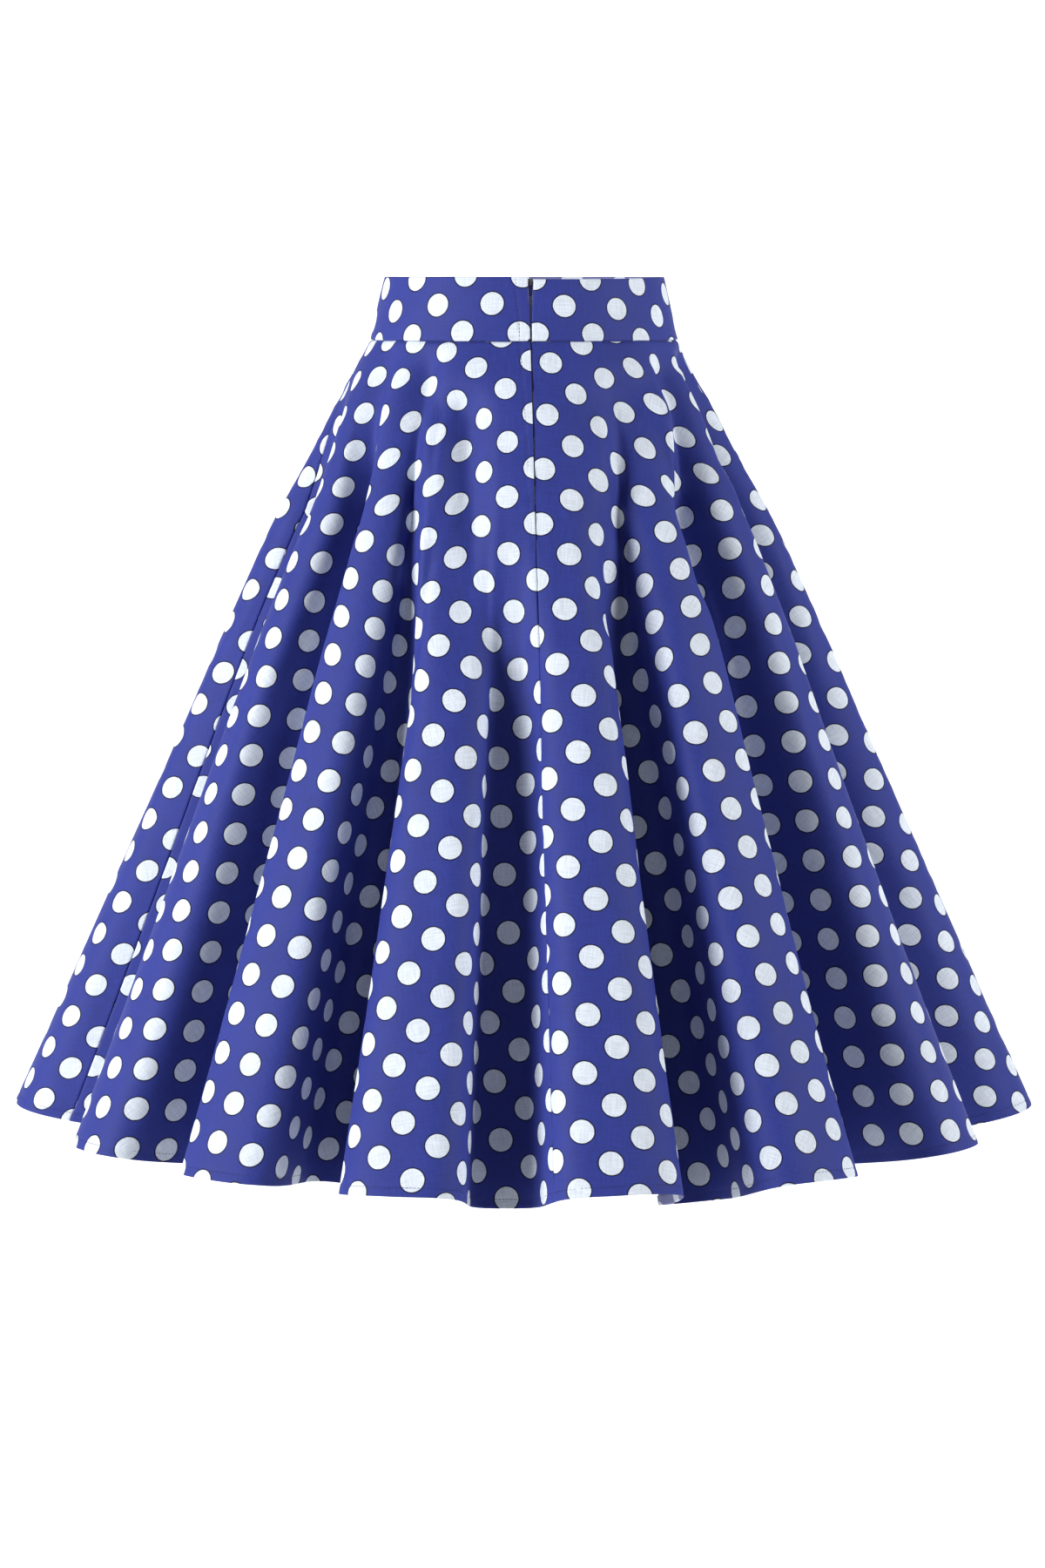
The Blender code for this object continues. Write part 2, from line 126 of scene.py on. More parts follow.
# Creases laid on the folds: each one's place in FOLDS, the drops it runs between, how far
# it leans over for each metre of that, its half width, and its height, below 0 for a trough
Crease = namedtuple("Crease", "place start end lean half_width height")
CREASES = (
    Crease(12.12, 0.000, 0.440, 0.05, 0.015, -0.0105),
    Crease(12.66, 0.060, 0.460, 0.00, 0.011, 0.0055),
    Crease(12.35, 0.040, 0.230, 0.28, 0.006, -0.0030),
    Crease(12.66, 0.030, 0.420, 0.33, 0.026, -0.0155),
    Crease(13.78, 0.240, 0.720, 0.00, 0.022, -0.0090),
    Crease(11.42, 0.000, 0.450, 0.00, 0.014, -0.0060),
    Crease(10.52, 0.040, 0.330, 0.00, 0.012, -0.0010),
    Crease(0.28, 0.220, 0.760, 0.00, 0.024, 0.0080),
    Crease(0.50, 0.060, 0.300, 0.00, 0.012, 0.0050),
    Crease(1.00, 0.020, 0.420, -0.20, 0.034, -0.0110),
    Crease(1.26, 0.200, 0.760, 0.00, 0.022, 0.0080),
    Crease(1.38, 0.030, 0.500, 0.00, 0.012, 0.0080),
    Crease(1.76, 0.000, 0.440, 0.00, 0.014, -0.0105),
    Crease(2.24, 0.100, 0.760, 0.00, 0.018, 0.0080),
    Crease(2.64, 0.000, 0.760, 0.00, 0.020, -0.0180),
    Crease(3.45, 0.040, 0.300, 0.00, 0.013, -0.0040),
    Crease(0.12, 0.210, 0.420, 0.03, 0.007, -0.0018),
    Crease(4.50, 0.000, 0.560, 0.00, 0.015, -0.0085),
    Crease(5.52, 0.060, 0.420, 0.00, 0.018, -0.0060),
    Crease(5.82, 0.050, 0.210, -0.05, 0.006, -0.0025),
    Crease(6.50, 0.000, 0.400, 0.00, 0.013, -0.0080),
    Crease(7.05, 0.020, 0.480, 0.18, 0.020, -0.0100),
    Crease(8.50, 0.000, 0.340, 0.00, 0.014, -0.0070),
    Crease(8.84, 0.060, 0.480, -0.10, 0.024, -0.0090),
    Crease(9.52, 0.070, 0.420, 0.00, 0.016, -0.0050),
)
CREASE_RUN_IN = 0.035
CREASE_RUN_OUT = 0.6  # a share of its length
CREASE_HOLD = 0.667  # a share of its run-out, which it keeps its height for

# How finely the cloth is drawn
SHEET_COLUMNS = 720  # all round
SHEET_ROWS = 92
# Rows and columns set close together beside an edge
EDGE_STEPS = np.array((0.0, 0.15, 0.45, 0.9, 1.6, 2.8)) * MM
TUCK_STEPS = np.array((0.0, 0.4, 1.0, 2.0, 3.2, 4.5, 7.0)) * MM
HEM_STEPS = np.array((8.6, 8.0, 7.4, 6.8, 4.5, 2.2, 1.0, 0.5, 0.15, 0.0)) * MM
BAND_STEPS = np.array((0.05, 0.3, 0.7, 1.2, 2.0)) * MM

# Sewing
CLOTH_THICKNESS = 0.9 * MM
BAND_THICKNESS = 2.3 * MM
SEAM_GAP = 0.05 * MM  # a panel's edge stays this far from its seam
HEM_DEPTH = 8.0 * MM
HEM_THICKNESS = 2.0 * MM
HEM_STITCH_HEIGHT = 7.0 * MM
HEM_STITCH_SINK = 0.22 * MM
GROOVE_WIDTH = 1.6 * MM
GROOVE_DEPTH = 0.9 * MM
TUCK_LENGTH = 4.0 * MM  # the skirt's top goes in under the waistband here
TUCK_DEPTH = 1.1 * MM
PUCKER_REACH = 13.0 * MM
PUCKER_DEPTH = 0.45 * MM
PUCKER_WAVES = (0.017, 0.026, 0.041)

# The zip's lap. Depths are measured below the waist.
SLOT_END = 0.198  # the opening's foot
LAP_WIDTH = 9.5 * MM
LAP_NARROWS = 0.45  # as a share of its width, from the waist to where its stitching turns in
LAP_STITCH_TURN = 0.150  # from this depth on, the lap's stitching runs in to the seam
LAP_STITCH_END = SLOT_END + 0.010
LAP_STITCH_SINK = 0.35 * MM
LAP_RISE = 0.7 * MM
LAP_STEP = 2.2 * MM  # the width over which it rises
LAP_TURNING = 4.0 * MM  # the cloth turned in under it reaches this far past its stitching
FACING_WIDTH = 14.0 * MM  # on the opening's right-hand side
BAND_SAG = 1.9 * MM  # the zip's right-hand side hangs this much lower at the waist's top edge
BAND_SAG_SHARE = 0.24  # where that has gone, as a share of the way round

# The zip's coils
COIL_TOP = 4.0 * MM  # below the waist
COIL_SET_BACK = 2.2 * MM  # behind the cloth's middle
COIL_REACH = 0.205  # down the cloth from the waist seam, before its foot is cut off
COIL_MESH = 0.33  # how far each side stands off the middle, as a share of its width
COIL_HEIGHT = 1.3 * MM
COIL_WIRE = 0.75 * MM

# Print
INK_RUN = 0.5 * MM  # how far the ink may run along the threads
INK_EDGE = 0.16 * MM  # half the width over which it fades
BARE_COTTON = "#c9cbdd"

# The opening: how far each side stands back from its middle
Slot = namedtuple("Slot", "depth left right")
SLOT = (
    Slot(0.000, 0.0021, 0.0021),
    Slot(0.018, 0.0019, 0.0018),
    Slot(0.026, 0.0010, 0.0009),
    Slot(0.060, 0.0006, 0.0007),
    Slot(0.150, 0.0005, 0.0007),
    Slot(0.192, 0.0004, 0.0005),
    Slot(0.198, 0.0001, 0.0001),
)

# The panels' shares of the cut, and how each lies on the printed cloth: its grain's turn in degrees
# from the panel's own middle line or centre-back edge, and the print's place under it
Panel = namedtuple("Panel", "name start end slot_at_start slot_at_end pivot grain shift_x shift_y")
PANELS = (
    Panel("back_right", 0.00, 0.25, True, False, 0.0, -5.0, 30.0 * MM, 14.9 * MM),
    Panel("front", 0.25, 0.75, False, False, 0.5, 0.0, 0.0, 0.0),
    Panel("back_left", 0.75, 1.00, False, True, 1.0, 0.0, 22.5 * MM, 36.4 * MM),
)
BAND_GRAIN = {
    "back_right": (2.0, 3.0 * MM, 0.0),
    "front": (0.0, 0.0, 0.0),
    "back_left": (-4.0, 39.0 * MM, 0.0),
}

# Studio
FLOOR_REACH = 6.0  # the floor is level this far out, and then sweeps up
FLOOR_SWEEP = 3.0
FLOOR_SIDES = 96
PICTURE_HEIGHT = 1800


def linear(code):
    """An sRGB hex colour as linear values."""
    parts = [int(code[i : i + 2], 16) / 255 for i in (1, 3, 5)]
    return tuple(c / 12.92 if c <= 0.04045 else ((c + 0.055) / 1.055) ** 2.4 for c in parts)


def smooth(x):
    """0 to 1 with level ends."""
    x = np.clip(x, 0.0, 1.0)
    return x * x * (3 - 2 * x)


def bell(x):
    """1 at 0, falling away to 0 on both sides."""
    return np.exp(-(x**2))


def near_edge(distance, width):
    """1 at an edge, easing to 0 that far from it."""
    return np.clip(1 - distance / width, 0, 1) ** 2


def lookup(table, key, value, at):
    keys = [getattr(row, key) for row in table]
    return np.interp(at, keys, [getattr(row, value) for row in table])


def link_object(name, data):
    made = bpy.data.objects.new(name, data)
    bpy.context.scene.collection.objects.link(made)
    return made


# Drape, worked out as the solids' is ----------------------------------


def plan_place(turn, reach):
    return np.stack([reach * np.sin(turn), -reach * np.cos(turn)], axis=-1)


def hem_curve():
    """The hem seen from above, once round from the first crest, and each point's place in FOLDS."""
    ends = []
    for fold in FOLDS:
        for turn, reach, broad in (
            (fold.crest_turn, fold.crest_reach, fold.crest_round),
            (fold.valley_turn, fold.valley_reach, fold.valley_round),
        ):
            angle = np.radians(turn)
            tangent = np.array([np.cos(angle), np.sin(angle)]) * broad
            ends.append((plan_place(angle, reach), tangent))
    t = np.arange(CURVE_STEPS)[:, None] / CURVE_STEPS
    points = []
    for (start, leave), (end, arrive) in zip(ends, ends[1:] + ends[:1]):
        points.append(
            (2 * t**3 - 3 * t**2 + 1) * start
            + (t**3 - 2 * t**2 + t) * leave
            + (3 * t**2 - 2 * t**3) * end
            + (t**3 - t**2) * arrive
        )
    return np.concatenate(points), np.arange(len(ends) * CURVE_STEPS) / (2 * CURVE_STEPS)


def along(points):
    """Distance along a closed line of points, with its whole length last."""
    steps = np.linalg.norm(np.roll(points, -1, axis=0) - points, axis=1)
    return np.concatenate([[0.0], np.cumsum(steps)])


def hem_at(shares):
    """Plan place and place in FOLDS, for shares of the cut."""
    points, folds = hem_curve()
    distance = along(points)
    turns = np.degrees(np.arctan2(points[:, 0], -points[:, 1]))
    last_flank = len(points) - CURVE_STEPS
    centre_back = last_flank + np.argmin(np.abs(turns[last_flank:] - CENTRE_BACK_TURN))
    at = np.mod(distance[centre_back] + shares * distance[-1], distance[-1])
    closed = np.concatenate([points, points[:1]])
    places = np.stack([np.interp(at, distance, closed[:, axis]) for axis in (0, 1)], axis=-1)
    return places, np.interp(at, distance, np.append(folds, len(FOLDS)))


def ellipse(turns, half_width, half_depth):
    return np.stack([half_width * np.sin(turns), -half_depth * np.cos(turns)], axis=-1)


def seam_turns(shares):
    """A waist seam's oval parameter at shares spread evenly along it, and its girth."""
    fine = np.linspace(0, 2 * pi, ELLIPSE_STEPS + 1)
    line = ellipse(fine, OUTLINE[0].half_width, OUTLINE[0].half_depth)
    distance = np.concatenate([[0.0], np.cumsum(np.linalg.norm(np.diff(line, axis=0), axis=1))])
    whole, part = np.divmod(shares, 1.0)
    return np.interp(part * distance[-1], distance, fine) + whole * 2 * pi, distance[-1]


def between_folds(values, folds):
    low = np.floor(folds).astype(int)
    ease = smooth(folds - low)
    values = np.array(values)
    return values[low % len(values)] * (1 - ease) + values[(low + 1) % len(values)] * ease


def fall(height, travel, step):
    """The height after one step along the cloth that also travels outward."""
    level_part = np.minimum(np.linalg.norm(travel, axis=1), STEEPEST * step)
    return height - np.sqrt(step**2 - level_part**2)


def deepest(folded, length):
    """The fold strength at which a row all round is that long."""
    low, high = 0.0, STRONGEST_FOLD
    for _ in range(HALVINGS):
        middle = (low + high) / 2
        if along(folded(middle)[0])[-1] < length:
            low = middle
        else:
            high = middle
    return middle


def drape(shares, strengths=None):
    """The cloth's middle surface (rows, columns, 3) and each row's fold strength."""
    turns, girth = seam_turns(shares)
    inner_radius = girth / CUT_ANGLE
    hem, folds = hem_at(shares)
    fold_offset = hem - ellipse(turns, OUTLINE[-1].half_width, OUTLINE[-1].half_depth)
    start = between_folds([fold.start for fold in FOLDS], folds)
    dip = between_folds([fold.dip for fold in FOLDS], folds - 0.5)
    drops = np.linspace(0, CLOTH_DROP, DROP_STEPS + 1)
    step = drops[1]

    outline = ellipse(turns, OUTLINE[0].half_width, OUTLINE[0].half_depth)
    rows = [np.column_stack([outline, np.full(len(shares), -BAND_HEIGHT)])]
    hang, level = rows[0][:, 2], rows[0][:, 2]
    used = [0.0]
    for row, drop in enumerate(drops[1:], start=1):
        last_outline = outline
        outline = ellipse(
            turns,
            lookup(OUTLINE, "drop", "half_width", drop),
            lookup(OUTLINE, "drop", "half_depth", drop),
        )
        weight = smooth((drop - FOLD_EARLY * start) / FOLD_RAMP)[:, None]
        level = fall(level, outline - last_outline, step)

        def folded(strength):
            plan = outline + strength * weight * fold_offset
            low = fall(hang, plan - rows[-1][:, :2], step)
            return np.column_stack([plan, level + dip * (low - level)]), low

        if strengths is None:
            strength = deepest(folded, CUT_ANGLE * (inner_radius + drop))
            if drop < SHALLOW_ABOVE:
                shallow = SHALLOW_TOP + (SHALLOW_FOOT - SHALLOW_TOP) * drop / SHALLOW_ABOVE
                strength = min(strength, shallow)
        else:
            strength = strengths[row]
        points, hang = folded(strength)
        rows.append(points)
        used.append(strength)
    return np.array(rows), used


# Grids of cloth ----------------------------------


def read_columns(grid, places):
    """Each row of a grid read between its columns on a smooth curve. Places are (rows, columns)."""
    low = np.clip(np.floor(places).astype(int), 1, grid.shape[1] - 3)
    t = (places - low)[..., None]
    row = np.arange(len(grid))[:, None]
    a, b, c, d = (grid[row, low + k] for k in (-1, 0, 1, 2))
    return b + 0.5 * t * (c - a + t * (2 * a - 5 * b + 4 * c - d + t * (3 * (b - c) + d - a)))


def read_rows(grid, places):
    """The grid's rows read between its own, at places counted in rows."""
    turned = np.swapaxes(grid, 0, 1)
    return np.swapaxes(read_columns(turned, np.tile(places, (len(turned), 1))), 0, 1)


def outward(points):
    """Unit normals of a grid of points, pointing away from the axis."""
    normals = np.cross(np.gradient(points, axis=0), np.gradient(points, axis=1))
    return normals / np.linalg.norm(normals, axis=2, keepdims=True)


def panel_places(panel, girths, depths):
    """Shares (rows, columns) across a panel, even but for close columns beside each edge, and how
    far each is from the panel's two edges."""
    closed = np.full(len(depths), SEAM_GAP)
    left = lookup(SLOT, "depth", "right", depths) if panel.slot_at_start else closed
    right = lookup(SLOT, "depth", "left", depths) if panel.slot_at_end else closed
    start = (panel.start + left / girths)[:, None] + EDGE_STEPS / girths[:, None]
    end = (panel.end - right / girths)[:, None] - EDGE_STEPS[::-1] / girths[:, None]
    even = np.linspace(0, 1, round((panel.end - panel.start) * SHEET_COLUMNS))[1:-1]
    middle = start[:, -1:] + (end[:, :1] - start[:, -1:]) * even
    shares = np.concatenate([start, middle, end], axis=1)
    from_start = (shares - panel.start) * girths[:, None] - left[:, None]
    from_end = (panel.end - shares) * girths[:, None] - right[:, None]
    return shares, from_start, from_end


def rounding(distance, thickness):
    """How much of a wall's thickness is left that near a rounded edge."""
    x = np.clip(2 * distance / thickness, 0, 1)
    return np.sqrt(np.clip(1 - (1 - x) ** 2, 0, 1))


def wander(x, wavelengths, seed):
    """A smooth line from -1 to 1 that never quite repeats."""
    draw = np.random.default_rng(seed)
    total = sum(np.sin(2 * pi * (x / length + draw.random())) for length in wavelengths)
    return total / len(wavelengths)


def add_shell(name, outer, inner, uv, slots, body):
    """A closed wall between two grids of points, carrying the flat cut as its UV map."""
    rows, columns = outer.shape[:2]
    count = rows * columns
    places = np.concatenate([outer.reshape(-1, 3), inner.reshape(-1, 3)])
    index = np.arange(count).reshape(rows, columns)
    cells = [index[:-1, :-1], index[1:, :-1], index[1:, 1:], index[:-1, 1:]]
    cells = np.stack(cells, axis=-1).reshape(-1, 4)
    rim = np.concatenate([index[0, :-1], index[:-1, -1], index[-1, :0:-1], index[:0:-1, 0]])
    ahead = np.roll(rim, -1)
    edge = np.stack([rim, ahead, ahead + count, rim + count], axis=-1)
    faces = np.concatenate([cells, cells[:, ::-1] + count, edge])
    mesh = bpy.data.meshes.new(name)
    mesh.vertices.add(len(places))
    mesh.vertices.foreach_set("co", places.astype(np.float32).ravel())
    mesh.loops.add(faces.size)
    mesh.loops.foreach_set("vertex_index", faces.astype(np.int32).ravel())
    mesh.polygons.add(len(faces))
    mesh.polygons.foreach_set("loop_start", np.arange(0, faces.size, 4, dtype=np.int32))
    mesh.polygons.foreach_set("loop_total", np.full(len(faces), 4, dtype=np.int32))
    side = np.zeros(len(faces), dtype=np.int32)
    side[len(cells) : 2 * len(cells)] = 1
    mesh.polygons.foreach_set("material_index", side)
    layer = mesh.uv_layers.new(name="cut")
    flat = np.concatenate([uv.reshape(-1, 2), uv.reshape(-1, 2)])
    layer.data.foreach_set("uv", flat[faces.ravel()].astype(np.float32).ravel())
    mesh.update(calc_edges=True)
    mesh.validate()
    mesh.shade_smooth()
    for slot in slots:
        mesh.materials.append(slot)
    made = link_object(name, mesh)
    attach(made, body)
    return made


class Cloth:
    """The draped cloth, solved once."""

    def __init__(self):
        _, self.strengths = drape(np.arange(SOLVE_COLUMNS) / SOLVE_COLUMNS)
        self.inner_radius = seam_turns(np.array([0.0]))[1] / CUT_ANGLE
        shares = np.arange(ELLIPSE_STEPS) / ELLIPSE_STEPS
        folds = hem_at(shares)[1]
        folds = np.where(folds < folds[0], folds + len(FOLDS), folds)
        places = np.array([crease.place for crease in CREASES])
        places = np.where(places < folds[0], places + len(FOLDS), places)
        self.crease_shares = np.interp(places, folds, shares)

    def crease_height(self, drops, shares):
        """How far the creases lift the cloth."""
        height = np.zeros_like(shares)
        girths = self.girths(drops)[:, None]
        for crease, share in zip(CREASES, self.crease_shares):
            down = drops[:, None] - crease.start
            length = crease.end - crease.start
            across = ((shares - share + 0.5) % 1.0 - 0.5) * girths - crease.lean * down
            run_out = smooth(down / (CREASE_RUN_OUT * length) - CREASE_HOLD)
            fade = smooth(down / CREASE_RUN_IN) * (1 - run_out)
            height += crease.height * fade * bell(across / crease.half_width)
        return height

    def grid(self, drops, shares):
        """Points at those drops (rows) and shares (rows, columns)."""
        step = 1 / SHEET_COLUMNS
        low = np.floor(shares.min() / step) - 4
        high = np.ceil(shares.max() / step) + 4
        base, _ = drape(np.arange(low, high + 1) * step, self.strengths)
        fine = read_rows(base, drops / CLOTH_DROP * DROP_STEPS)
        points = read_columns(fine, shares / step - low)
        away = points[..., :2] / np.linalg.norm(points[..., :2], axis=-1, keepdims=True)
        points[..., :2] += away * self.crease_height(drops, shares)[..., None]
        return points

    def paced(self, drops, shares, panel):
        """The shares again, spread evenly along the panel's own length, creases and all."""
        count = round((panel.end - panel.start) * SHEET_COLUMNS) + 1
        fine = np.linspace(panel.start, panel.end, count)
        line = self.grid(drops, np.tile(fine, (len(drops), 1)))
        steps = np.linalg.norm(np.diff(line, axis=1), axis=2)
        lengths = np.concatenate([np.zeros((len(drops), 1)), np.cumsum(steps, axis=1)], axis=1)
        parts = [np.interp(row, fine, length / length[-1]) for row, length in zip(shares, lengths)]
        return panel.start + np.array(parts) * (panel.end - panel.start)

    def girths(self, drops):
        """How long the flat cut is at those drops."""
        return CUT_ANGLE * (self.inner_radius + drops)

    def depths(self, drops):
        """The centre-back line's depth below the waist."""
        return -self.grid(drops, np.zeros((len(drops), 1)))[:, 0, 2]


CLOTH = Cloth()


def sheet_drops():
    """The drops of a panel's rows: even, but for close rows under the waistband and at the hem."""
    even = np.linspace(0.012, CLOTH_DROP - 0.014, SHEET_ROWS)
    return np.concatenate([TUCK_STEPS, even, CLOTH_DROP - HEM_STEPS])


def lap_line(depths):
    """How far the lap's stitching runs from the opening's left edge, at depths below the waist."""
    turned = np.clip((depths - LAP_STITCH_TURN) / (LAP_STITCH_END - LAP_STITCH_TURN), 0, 1)
    narrowed = 1 - LAP_NARROWS * np.clip(depths / LAP_STITCH_TURN, 0, 1)
    return LAP_WIDTH * narrowed * np.sqrt(1 - turned**2)


def on_lap(lap, from_end):
    """1 on the lap, 0 past its stitching."""
    return smooth((lap - from_end) / LAP_STEP + 0.5)


def surface_rise(panel, drops, depths, shares, from_start, from_end):
    """How far the sewn cloth stands out from its drape, or in."""
    down, below = drops[:, None], depths[:, None]
    rise = np.zeros_like(shares)
    for distance, has_slot, seed in (
        (from_start, panel.slot_at_start, 3),
        (from_end, panel.slot_at_end, 5),
    ):
        sewn = smooth((below - SLOT_END) / 0.012) if has_slot else 1.0
        rise -= GROOVE_DEPTH * near_edge(distance, GROOVE_WIDTH) * sewn
        rise += PUCKER_DEPTH * bell(distance / PUCKER_REACH) * wander(down, PUCKER_WAVES, seed)
    if panel.slot_at_end:
        lap = lap_line(below)
        ends = 1 - smooth((below - SLOT_END) / (LAP_STITCH_END - SLOT_END))
        rise += LAP_RISE * on_lap(lap, from_end) * ends
        rise -= LAP_STITCH_SINK * bell((from_end - lap) / (1.3 * MM)) * (below < LAP_STITCH_END)
    rise -= TUCK_DEPTH * near_edge(down, TUCK_LENGTH)
    rise -= HEM_STITCH_SINK * bell((down - (CLOTH_DROP - HEM_STITCH_HEIGHT)) / (1.0 * MM))

    # Faint ridges that wander down the cloth, and a slight slackness all over
    slow = wander(down, (0.31, 0.53), 11)
    ridges = wander(shares + 0.004 * slow, (1 / 39, 1 / 57, 1 / 83), 7)
    rise += 0.9 * MM * smooth(down / 0.3) * ridges
    place = shares * CLOTH.girths(drops)[:, None] + 0.2 * down
    rise += 0.25 * MM * wander(place, (0.047, 0.071), 13) * wander(down, (0.09, 0.15), 17)
    return rise


def on_print(x, y, grain, shift_x, shift_y):
    """Places on a flat piece, turned and shifted to the print."""
    turn = radians(grain)
    across = cos(turn) * x + sin(turn) * y - shift_x
    return np.stack([across, cos(turn) * y - sin(turn) * x - shift_y], axis=-1)


def flat_places(panel, drops, shares):
    """Each point's place on the flat cloth."""
    radius = CLOTH.inner_radius + drops[:, None]
    angle = (CLOTH.paced(drops, shares, panel) - panel.pivot) * CUT_ANGLE
    x, y = radius * np.sin(angle), -radius * np.cos(angle)
    return on_print(x, y, panel.grain, panel.shift_x, panel.shift_y)


def add_skirt_panel(panel, materials):
    drops = sheet_drops()
    depths = CLOTH.depths(drops)
    girths = CLOTH.girths(drops)
    shares, from_start, from_end = panel_places(panel, girths, depths)
    middle = CLOTH.grid(drops, shares)
    normals = outward(middle)
    rise = surface_rise(panel, drops, depths, shares, from_start, from_end)[..., None]

    # The cloth is doubled at the hem and beside the opening
    thickness = np.full(shares.shape, CLOTH_THICKNESS)
    beside_slot = depths[:, None] < SLOT_END
    if panel.slot_at_end:
        thickness += CLOTH_THICKNESS * (from_end < LAP_WIDTH + LAP_TURNING) * beside_slot
    if panel.slot_at_start:
        thickness += 0.6 * CLOTH_THICKNESS * (from_start < FACING_WIDTH) * beside_slot
    from_hem = CLOTH_DROP - drops[:, None]
    turned_up = smooth((HEM_DEPTH - from_hem) / (0.7 * MM))
    inner = thickness - CLOTH_THICKNESS / 2 + (HEM_THICKNESS - CLOTH_THICKNESS) * turned_up

    edge = rounding(from_hem, HEM_THICKNESS) * rounding(from_start, CLOTH_THICKNESS)
    edge = np.maximum(edge * rounding(from_end, CLOTH_THICKNESS), 0.06)[..., None]
    made = add_shell(
        "skirt_" + panel.name + "_cloth",
        middle + normals * (rise + CLOTH_THICKNESS / 2 * edge),
        middle + normals * (rise - inner[..., None] * edge),
        flat_places(panel, drops, shares),
        materials,
        "skirt",
    )
    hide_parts("skirt_" + panel.name)


# Waistband ----------------------------------


def band_slant():
    """The waistband's height measured along its slope."""
    lean = OUTLINE[0].half_width - BAND_TOP_HALF_WIDTH + OUTLINE[0].half_depth - BAND_TOP_HALF_DEPTH
    return (BAND_HEIGHT**2 + (lean / 2) ** 2) ** 0.5


def ellipse_girth(half_width, half_depth):
    turns = np.linspace(0, 2 * pi, ELLIPSE_STEPS, endpoint=False)
    return along(ellipse(turns, half_width, half_depth))[-1]


def band_plan(turns, part):
    """The waistband's middle surface seen from above, that far down it, and its half sizes."""
    half_width = BAND_TOP_HALF_WIDTH + part * (OUTLINE[0].half_width - BAND_TOP_HALF_WIDTH)
    half_depth = BAND_TOP_HALF_DEPTH + part * (OUTLINE[0].half_depth - BAND_TOP_HALF_DEPTH)
    return ellipse(turns, half_width, half_depth), half_width, half_depth


def add_band_piece(panel, materials):
    """One waistband piece: two layers of cloth folded over at the top."""
    even = np.linspace(0.006, 0.044, 12)
    depths = np.concatenate([BAND_STEPS, even, BAND_HEIGHT - BAND_STEPS[::-1]])
    top_girth = ellipse_girth(BAND_TOP_HALF_WIDTH, BAND_TOP_HALF_DEPTH)
    foot_girth = ellipse_girth(OUTLINE[0].half_width, OUTLINE[0].half_depth)
    part = depths / BAND_HEIGHT
    girths = top_girth + part * (foot_girth - top_girth)
    shares, from_start, from_end = panel_places(panel, girths, depths)
    down, part = depths[:, None], part[:, None]
    plan = band_plan(seam_turns(shares)[0], part)[0]
    heights = np.broadcast_to(-down, shares.shape)
    if panel.slot_at_start:
        heights = heights - BAND_SAG * (1 - part) * (1 - smooth(shares / BAND_SAG_SHARE - 0.2))
    middle = np.concatenate([plan, heights[..., None]], axis=2)
    normals = outward(middle)

    rise = 0.35 * MM * wander(shares * girths[:, None] + 0.3 * down, (0.043, 0.067, 0.12), 23)
    edge = rounding(down, BAND_THICKNESS) * rounding(BAND_HEIGHT - down, BAND_THICKNESS)
    for distance, has_slot in ((from_start, panel.slot_at_start), (from_end, panel.slot_at_end)):
        if not has_slot:
            rise -= GROOVE_DEPTH * near_edge(distance, GROOVE_WIDTH)
        edge = edge * rounding(distance, BAND_THICKNESS if has_slot else 0.2 * MM)
    if panel.slot_at_end:
        lap = lap_line(down)
        rise += 0.5 * LAP_RISE * on_lap(lap, from_end)
        rise -= 0.3 * MM * bell((from_end - lap) / (1.2 * MM))
    side = (BAND_THICKNESS / 2 * np.maximum(edge, 0.05))[..., None]
    rise = rise[..., None]

    fan = (foot_girth - top_girth) / band_slant()
    top_radius = top_girth / fan
    radius = top_radius + part * band_slant()
    angle = (shares - panel.pivot) * fan
    x, y = radius * np.sin(angle), top_radius - radius * np.cos(angle)
    made = add_shell(
        "waistband_" + panel.name + "_cloth",
        middle + normals * (rise + side),
        middle + normals * (rise - side),
        on_print(x, y, *BAND_GRAIN[panel.name]),
        materials,
        "skirt",
    )
    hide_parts("waistband_" + panel.name)


# Materials ----------------------------------


def add_node(tree, kind, inputs=None, **settings):
    """A node with its settings. An input is set, or linked from a socket or a node's first one."""
    made = tree.nodes.new(kind)
    for name, value in settings.items():
        setattr(made, name, value)
    for name, value in (inputs or {}).items():
        if isinstance(value, bpy.types.Node):
            value = value.outputs[0]
        if isinstance(value, bpy.types.NodeSocket):
            tree.links.new(value, made.inputs[name])
        else:
            made.inputs[name].default_value = value
    return made


def new_material(name):
    made = bpy.data.materials.new(name)
    made.use_nodes = True
    made.node_tree.nodes.clear()
    return made, made.node_tree


def finish_material(made, tree, settings):
    shader = add_node(tree, "ShaderNodeBsdfPrincipled", settings)
    add_node(tree, "ShaderNodeOutputMaterial", {"Surface": shader})
    return made


